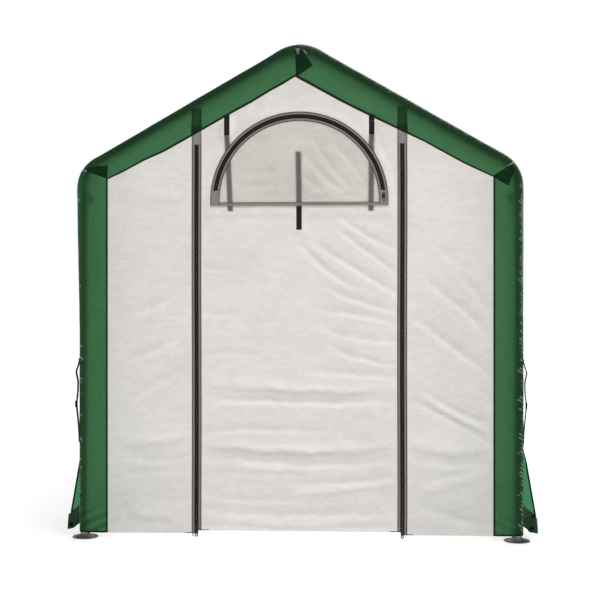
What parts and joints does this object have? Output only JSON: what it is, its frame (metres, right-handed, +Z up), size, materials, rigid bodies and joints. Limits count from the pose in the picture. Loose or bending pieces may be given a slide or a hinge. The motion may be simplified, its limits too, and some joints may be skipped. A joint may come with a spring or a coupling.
{
  "type": "walk-in greenhouse",
  "caption": "Peak-roofed walk-in greenhouse with a steel tube frame, fabric covers, a zipped front door, half-moon vents and roll-up side curtains.",
  "frame": {"origin": "centre of the base, on the ground under the middle of the frame", "axes": "+X to the right seen from the front, +Y from the front to the back, +Z up"},
  "size_m": [1.8886, 2.496, 1.9789],
  "materials": {
    "steel": "galvanised tube, faint spangle",
    "foot_steel": "bright galvanised plate",
    "translucent_cloth": "woven translucent sheet, soft sheen",
    "green_cloth": "coated woven cloth",
    "zip_tape": "woven tape with a dark plastic coil",
    "zip_metal": "dark enamelled die casting",
    "black_webbing": "ribbed webbing",
    "screen": "fine insect mesh"
  },
  "bodies": {
    "root": {"front_left_leg": "steel", "front_right_leg": "steel", "middle_left_leg": "steel", "middle_right_leg": "steel", "rear_left_leg": "steel", "rear_right_leg": "steel", "front_left_eave_bend": "steel", "front_right_eave_bend": "steel", "middle_left_eave_bend": "steel", "middle_right_eave_bend": "steel", "rear_left_eave_bend": "steel", "rear_right_eave_bend": "steel", "front_peak_bend": "steel", "middle_peak_bend": "steel", "rear_peak_bend": "steel", "front_ridge_rail": "steel", "rear_ridge_rail": "steel", "front_left_eave_rail": "steel", "front_right_eave_rail": "steel", "rear_left_eave_rail": "steel", "rear_right_eave_rail": "steel", "front_left_foot_plate": "foot_steel", "front_right_foot_plate": "foot_steel", "middle_left_foot_plate": "foot_steel", "middle_right_foot_plate": "foot_steel", "rear_left_foot_plate": "foot_steel", "rear_right_foot_plate": "foot_steel", "main_cover": "translucent_cloth", "front_trim": "green_cloth", "rear_trim": "green_cloth", "front_wall": "translucent_cloth", "rear_wall": "translucent_cloth", "left_curtain": "translucent_cloth", "right_curtain": "translucent_cloth", "left_wall_tape": "zip_tape", "right_wall_tape": "zip_tape", "left_side_strap": "black_webbing", "right_side_strap": "black_webbing", "rear_vent_screen": "screen", "rear_vent_frame_tape": "zip_tape"},
    "door": {"door_panel": "translucent_cloth", "left_door_tape": "zip_tape", "right_door_tape": "zip_tape", "left_door_tie": "black_webbing", "right_door_tie": "black_webbing", "vent_screen": "screen", "vent_frame_tape": "zip_tape", "vent_tie": "black_webbing"},
    "vent_flap": {"vent_flap": "translucent_cloth", "vent_flap_tape": "zip_tape"},
    "vent_slider": {"vent_zip_slider": "zip_metal"},
    "left_slider": {"left_zip_slider": "zip_metal"},
    "right_slider": {"right_zip_slider": "zip_metal"},
    "left_pull": {"left_zip_pull": "zip_metal"},
    "right_pull": {"right_zip_pull": "zip_metal"},
    "rear_vent_flap": {"rear_vent_flap": "translucent_cloth", "rear_vent_flap_tape": "zip_tape"},
    "rear_vent_slider": {"rear_vent_zip_slider": "zip_metal"},
    "left_bar": {"left_curtain_pipe": "steel"},
    "right_bar": {"right_curtain_pipe": "steel"}
  },
  "joints": [
    {"name": "door_hinge", "type": "hinge", "parent": "root", "child": "door", "pos_m": [0, -1.21495, 1.736], "axis": [-1, 0, 0], "range_deg": [0, 95]},
    {"name": "vent_flap_hinge", "type": "hinge", "parent": "door", "child": "vent_flap", "pos_m": [0, -1.21495, 1.345], "axis": [1, 0, 0], "range_deg": [0, 150]},
    {"name": "vent_zip_travel", "type": "hinge", "parent": "door", "child": "vent_slider", "pos_m": [0, -1.21575, 1.36], "axis": [0, -1, 0], "range_deg": [0, 173]},
    {"name": "left_zip_travel", "type": "slide", "parent": "root", "child": "left_slider", "axis": [0, 0, 1], "range_m": [0, 1.566]},
    {"name": "right_zip_travel", "type": "slide", "parent": "root", "child": "right_slider", "axis": [0, 0, 1], "range_m": [0, 1.566]},
    {"name": "left_pull_swing", "type": "hinge", "parent": "left_slider", "child": "left_pull", "pos_m": [-0.413, -1.22025, 0.0409], "axis": [-1, 0, 0], "range_deg": [0, 150]},
    {"name": "right_pull_swing", "type": "hinge", "parent": "right_slider", "child": "right_pull", "pos_m": [0.413, -1.22025, 0.0409], "axis": [-1, 0, 0], "range_deg": [0, 150]},
    {"name": "rear_vent_flap_hinge", "type": "hinge", "parent": "root", "child": "rear_vent_flap", "pos_m": [0, 1.21495, 1.345], "axis": [-1, 0, 0], "range_deg": [0, 150]},
    {"name": "rear_vent_zip_travel", "type": "hinge", "parent": "root", "child": "rear_vent_slider", "pos_m": [0, 1.21575, 1.36], "axis": [0, -1, 0], "range_deg": [0, 173]},
    {"name": "left_curtain_lift", "type": "slide", "parent": "root", "child": "left_bar", "axis": [0, 0, 1], "range_m": [0, 1.24], "deforming": ["left_curtain"]},
    {"name": "right_curtain_lift", "type": "slide", "parent": "root", "child": "right_bar", "axis": [0, 0, 1], "range_m": [0, 1.24], "deforming": ["right_curtain"]}
  ]
}
